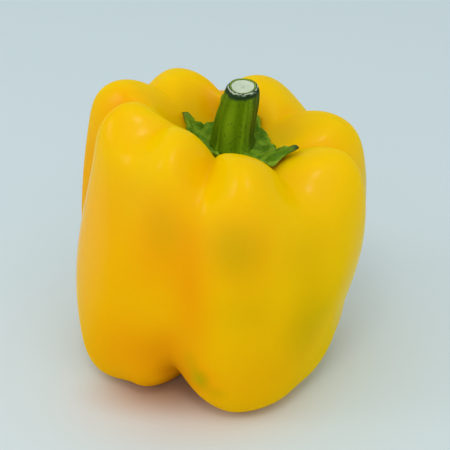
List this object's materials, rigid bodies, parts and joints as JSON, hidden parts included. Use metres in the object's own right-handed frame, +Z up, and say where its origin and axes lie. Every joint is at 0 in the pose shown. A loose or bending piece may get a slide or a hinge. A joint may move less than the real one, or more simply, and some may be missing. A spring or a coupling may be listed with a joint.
{
  "type": "bell pepper",
  "caption": "Blocky yellow bell pepper standing upright on its lobes, with a toothed green calyx in the crown and a short cut stem.",
  "frame": {"origin": "middle of the whole object's box, at the ground under the feet", "axes": "+Z up along the fruit towards the cut stem, -Y towards the viewer of the picture, +X to that viewer's right"},
  "size_m": [0.0862, 0.0804, 0.093],
  "materials": {
    "skin": "smooth waxy skin, glossy",
    "calyx": "satin, finely veined",
    "stem": "satin, ribbed, with a pale cut end"
  },
  "bodies": {
    "root": {"fruit": "skin", "calyx": "calyx", "stem": "stem"}
  },
  "joints": []
}
